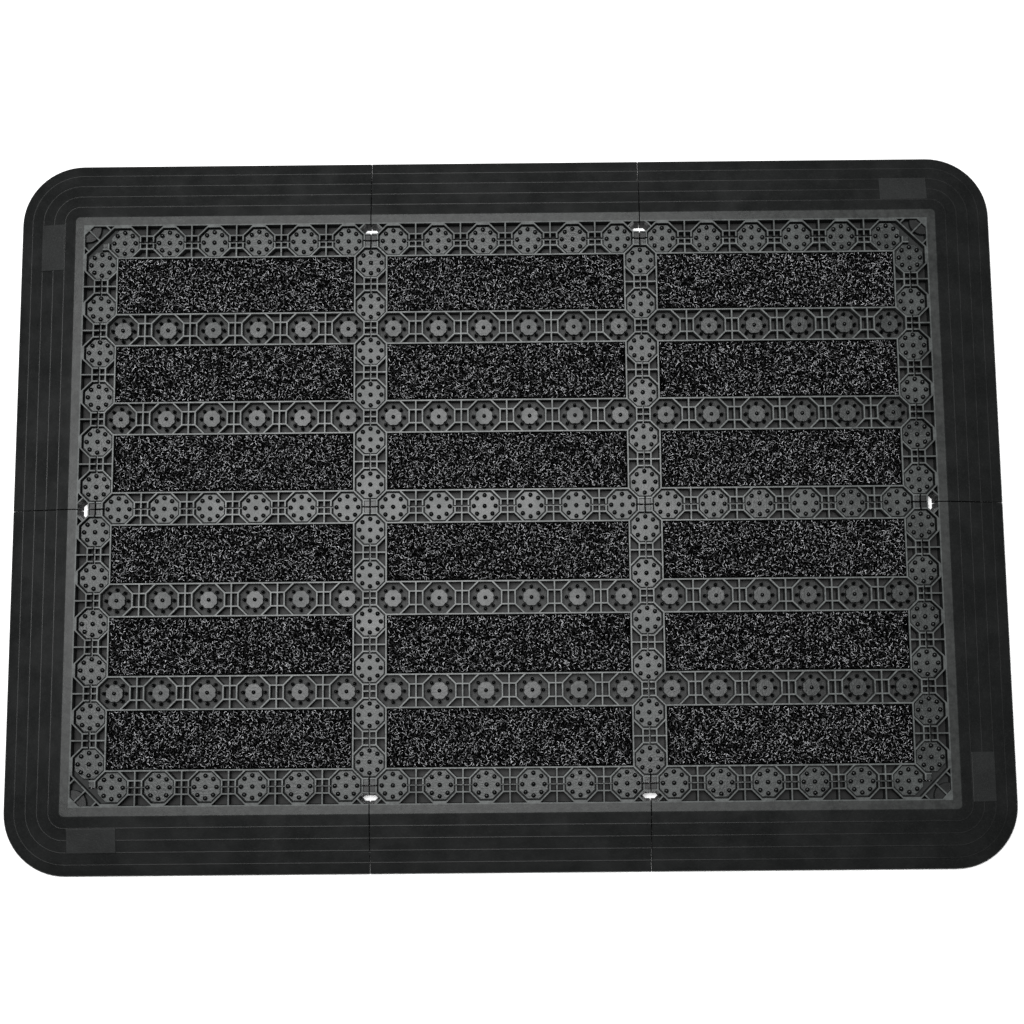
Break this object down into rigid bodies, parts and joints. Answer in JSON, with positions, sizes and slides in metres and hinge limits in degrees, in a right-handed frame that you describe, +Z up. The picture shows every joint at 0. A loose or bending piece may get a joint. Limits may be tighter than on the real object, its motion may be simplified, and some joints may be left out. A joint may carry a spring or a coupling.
{
  "type": "door mat",
  "caption": "Modular entrance mat: square ribbed tiles with carpet inserts, octagonal studded connectors on every seam and a sloping rounded edge ramp.",
  "frame": {"origin": "on the floor under the middle of the mat", "axes": "+X along the mat's long side, +Y from its front edge to its back edge, +Z up out of the walking surface"},
  "size_m": [0.906, 0.656, 0.015],
  "materials": {
    "tile_frame": "semi-gloss moulded rubber compound, dark grey",
    "edge_ramp": "matt moulded rubber, charcoal",
    "connector_pad": "semi-gloss moulded rubber, mid grey, with polished studs",
    "carpet_pile": "curly cut pile, black flecked with grey"
  },
  "bodies": {
    "mat_base": {"tile_frame_front_left": "tile_frame", "tile_frame_front_centre": "tile_frame", "tile_frame_front_right": "tile_frame", "tile_frame_back_left": "tile_frame", "tile_frame_back_centre": "tile_frame", "tile_frame_back_right": "tile_frame", "corner_ramp_front_left": "edge_ramp", "corner_ramp_front_right": "edge_ramp", "corner_ramp_back_right": "edge_ramp", "corner_ramp_back_left": "edge_ramp", "straight_ramp_front": "edge_ramp", "straight_ramp_back": "edge_ramp"},
    "carpet_insert_front_left_front": {"carpet_insert_front_left_front": "carpet_pile"},
    "carpet_insert_front_left_middle": {"carpet_insert_front_left_middle": "carpet_pile"},
    "carpet_insert_front_left_back": {"carpet_insert_front_left_back": "carpet_pile"},
    "carpet_insert_front_centre_front": {"carpet_insert_front_centre_front": "carpet_pile"},
    "carpet_insert_front_centre_middle": {"carpet_insert_front_centre_middle": "carpet_pile"},
    "carpet_insert_front_centre_back": {"carpet_insert_front_centre_back": "carpet_pile"},
    "carpet_insert_front_right_front": {"carpet_insert_front_right_front": "carpet_pile"},
    "carpet_insert_front_right_middle": {"carpet_insert_front_right_middle": "carpet_pile"},
    "carpet_insert_front_right_back": {"carpet_insert_front_right_back": "carpet_pile"},
    "carpet_insert_back_left_front": {"carpet_insert_back_left_front": "carpet_pile"},
    "carpet_insert_back_left_middle": {"carpet_insert_back_left_middle": "carpet_pile"},
    "carpet_insert_back_left_back": {"carpet_insert_back_left_back": "carpet_pile"},
    "carpet_insert_back_centre_front": {"carpet_insert_back_centre_front": "carpet_pile"},
    "carpet_insert_back_centre_middle": {"carpet_insert_back_centre_middle": "carpet_pile"},
    "carpet_insert_back_centre_back": {"carpet_insert_back_centre_back": "carpet_pile"},
    "carpet_insert_back_right_front": {"carpet_insert_back_right_front": "carpet_pile"},
    "carpet_insert_back_right_middle": {"carpet_insert_back_right_middle": "carpet_pile"},
    "carpet_insert_back_right_back": {"carpet_insert_back_right_back": "carpet_pile"},
    "connector_strip_front_seam_left": {"connector_strip_front_seam_left": "connector_pad"},
    "connector_strip_front_seam_centre": {"connector_strip_front_seam_centre": "connector_pad"},
    "connector_strip_front_seam_right": {"connector_strip_front_seam_right": "connector_pad"},
    "connector_strip_middle_seam_left": {"connector_strip_middle_seam_left": "connector_pad"},
    "connector_strip_middle_seam_centre": {"connector_strip_middle_seam_centre": "connector_pad"},
    "connector_strip_middle_seam_right": {"connector_strip_middle_seam_right": "connector_pad"},
    "connector_strip_back_seam_left": {"connector_strip_back_seam_left": "connector_pad"},
    "connector_strip_back_seam_centre": {"connector_strip_back_seam_centre": "connector_pad"},
    "connector_strip_back_seam_right": {"connector_strip_back_seam_right": "connector_pad"},
    "connector_strip_left_seam_front": {"connector_strip_left_seam_front": "connector_pad"},
    "connector_strip_left_seam_back": {"connector_strip_left_seam_back": "connector_pad"},
    "connector_strip_inner_left_seam_front": {"connector_strip_inner_left_seam_front": "connector_pad"},
    "connector_strip_inner_left_seam_back": {"connector_strip_inner_left_seam_back": "connector_pad"},
    "connector_strip_inner_right_seam_front": {"connector_strip_inner_right_seam_front": "connector_pad"},
    "connector_strip_inner_right_seam_back": {"connector_strip_inner_right_seam_back": "connector_pad"},
    "connector_strip_right_seam_front": {"connector_strip_right_seam_front": "connector_pad"},
    "connector_strip_right_seam_back": {"connector_strip_right_seam_back": "connector_pad"}
  },
  "joints": [
    {"name": "carpet_insert_front_left_front_lift", "type": "slide", "parent": "mat_base", "child": "carpet_insert_front_left_front", "axis": [0, 0, 1], "range_m": [0, 0.03]},
    {"name": "carpet_insert_front_left_middle_lift", "type": "slide", "parent": "mat_base", "child": "carpet_insert_front_left_middle", "axis": [0, 0, 1], "range_m": [0, 0.03]},
    {"name": "carpet_insert_front_left_back_lift", "type": "slide", "parent": "mat_base", "child": "carpet_insert_front_left_back", "axis": [0, 0, 1], "range_m": [0, 0.03]},
    {"name": "carpet_insert_front_centre_front_lift", "type": "slide", "parent": "mat_base", "child": "carpet_insert_front_centre_front", "axis": [0, 0, 1], "range_m": [0, 0.03]},
    {"name": "carpet_insert_front_centre_middle_lift", "type": "slide", "parent": "mat_base", "child": "carpet_insert_front_centre_middle", "axis": [0, 0, 1], "range_m": [0, 0.03]},
    {"name": "carpet_insert_front_centre_back_lift", "type": "slide", "parent": "mat_base", "child": "carpet_insert_front_centre_back", "axis": [0, 0, 1], "range_m": [0, 0.03]},
    {"name": "carpet_insert_front_right_front_lift", "type": "slide", "parent": "mat_base", "child": "carpet_insert_front_right_front", "axis": [0, 0, 1], "range_m": [0, 0.03]},
    {"name": "carpet_insert_front_right_middle_lift", "type": "slide", "parent": "mat_base", "child": "carpet_insert_front_right_middle", "axis": [0, 0, 1], "range_m": [0, 0.03]},
    {"name": "carpet_insert_front_right_back_lift", "type": "slide", "parent": "mat_base", "child": "carpet_insert_front_right_back", "axis": [0, 0, 1], "range_m": [0, 0.03]},
    {"name": "carpet_insert_back_left_front_lift", "type": "slide", "parent": "mat_base", "child": "carpet_insert_back_left_front", "axis": [0, 0, 1], "range_m": [0, 0.03]},
    {"name": "carpet_insert_back_left_middle_lift", "type": "slide", "parent": "mat_base", "child": "carpet_insert_back_left_middle", "axis": [0, 0, 1], "range_m": [0, 0.03]},
    {"name": "carpet_insert_back_left_back_lift", "type": "slide", "parent": "mat_base", "child": "carpet_insert_back_left_back", "axis": [0, 0, 1], "range_m": [0, 0.03]},
    {"name": "carpet_insert_back_centre_front_lift", "type": "slide", "parent": "mat_base", "child": "carpet_insert_back_centre_front", "axis": [0, 0, 1], "range_m": [0, 0.03]},
    {"name": "carpet_insert_back_centre_middle_lift", "type": "slide", "parent": "mat_base", "child": "carpet_insert_back_centre_middle", "axis": [0, 0, 1], "range_m": [0, 0.03]},
    {"name": "carpet_insert_back_centre_back_lift", "type": "slide", "parent": "mat_base", "child": "carpet_insert_back_centre_back", "axis": [0, 0, 1], "range_m": [0, 0.03]},
    {"name": "carpet_insert_back_right_front_lift", "type": "slide", "parent": "mat_base", "child": "carpet_insert_back_right_front", "axis": [0, 0, 1], "range_m": [0, 0.03]},
    {"name": "carpet_insert_back_right_middle_lift", "type": "slide", "parent": "mat_base", "child": "carpet_insert_back_right_middle", "axis": [0, 0, 1], "range_m": [0, 0.03]},
    {"name": "carpet_insert_back_right_back_lift", "type": "slide", "parent": "mat_base", "child": "carpet_insert_back_right_back", "axis": [0, 0, 1], "range_m": [0, 0.03]},
    {"name": "connector_strip_front_seam_left_pull", "type": "slide", "parent": "mat_base", "child": "connector_strip_front_seam_left", "axis": [0, 0, 1], "range_m": [0, 0.03]},
    {"name": "connector_strip_front_seam_centre_pull", "type": "slide", "parent": "mat_base", "child": "connector_strip_front_seam_centre", "axis": [0, 0, 1], "range_m": [0, 0.03]},
    {"name": "connector_strip_front_seam_right_pull", "type": "slide", "parent": "mat_base", "child": "connector_strip_front_seam_right", "axis": [0, 0, 1], "range_m": [0, 0.03]},
    {"name": "connector_strip_middle_seam_left_pull", "type": "slide", "parent": "mat_base", "child": "connector_strip_middle_seam_left", "axis": [0, 0, 1], "range_m": [0, 0.03]},
    {"name": "connector_strip_middle_seam_centre_pull", "type": "slide", "parent": "mat_base", "child": "connector_strip_middle_seam_centre", "axis": [0, 0, 1], "range_m": [0, 0.03]},
    {"name": "connector_strip_middle_seam_right_pull", "type": "slide", "parent": "mat_base", "child": "connector_strip_middle_seam_right", "axis": [0, 0, 1], "range_m": [0, 0.03]},
    {"name": "connector_strip_back_seam_left_pull", "type": "slide", "parent": "mat_base", "child": "connector_strip_back_seam_left", "axis": [0, 0, 1], "range_m": [0, 0.03]},
    {"name": "connector_strip_back_seam_centre_pull", "type": "slide", "parent": "mat_base", "child": "connector_strip_back_seam_centre", "axis": [0, 0, 1], "range_m": [0, 0.03]},
    {"name": "connector_strip_back_seam_right_pull", "type": "slide", "parent": "mat_base", "child": "connector_strip_back_seam_right", "axis": [0, 0, 1], "range_m": [0, 0.03]},
    {"name": "connector_strip_left_seam_front_pull", "type": "slide", "parent": "mat_base", "child": "connector_strip_left_seam_front", "axis": [0, 0, 1], "range_m": [0, 0.03]},
    {"name": "connector_strip_left_seam_back_pull", "type": "slide", "parent": "mat_base", "child": "connector_strip_left_seam_back", "axis": [0, 0, 1], "range_m": [0, 0.03]},
    {"name": "connector_strip_inner_left_seam_front_pull", "type": "slide", "parent": "mat_base", "child": "connector_strip_inner_left_seam_front", "axis": [0, 0, 1], "range_m": [0, 0.03]},
    {"name": "connector_strip_inner_left_seam_back_pull", "type": "slide", "parent": "mat_base", "child": "connector_strip_inner_left_seam_back", "axis": [0, 0, 1], "range_m": [0, 0.03]},
    {"name": "connector_strip_inner_right_seam_front_pull", "type": "slide", "parent": "mat_base", "child": "connector_strip_inner_right_seam_front", "axis": [0, 0, 1], "range_m": [0, 0.03]},
    {"name": "connector_strip_inner_right_seam_back_pull", "type": "slide", "parent": "mat_base", "child": "connector_strip_inner_right_seam_back", "axis": [0, 0, 1], "range_m": [0, 0.03]},
    {"name": "connector_strip_right_seam_front_pull", "type": "slide", "parent": "mat_base", "child": "connector_strip_right_seam_front", "axis": [0, 0, 1], "range_m": [0, 0.03]},
    {"name": "connector_strip_right_seam_back_pull", "type": "slide", "parent": "mat_base", "child": "connector_strip_right_seam_back", "axis": [0, 0, 1], "range_m": [0, 0.03]}
  ]
}
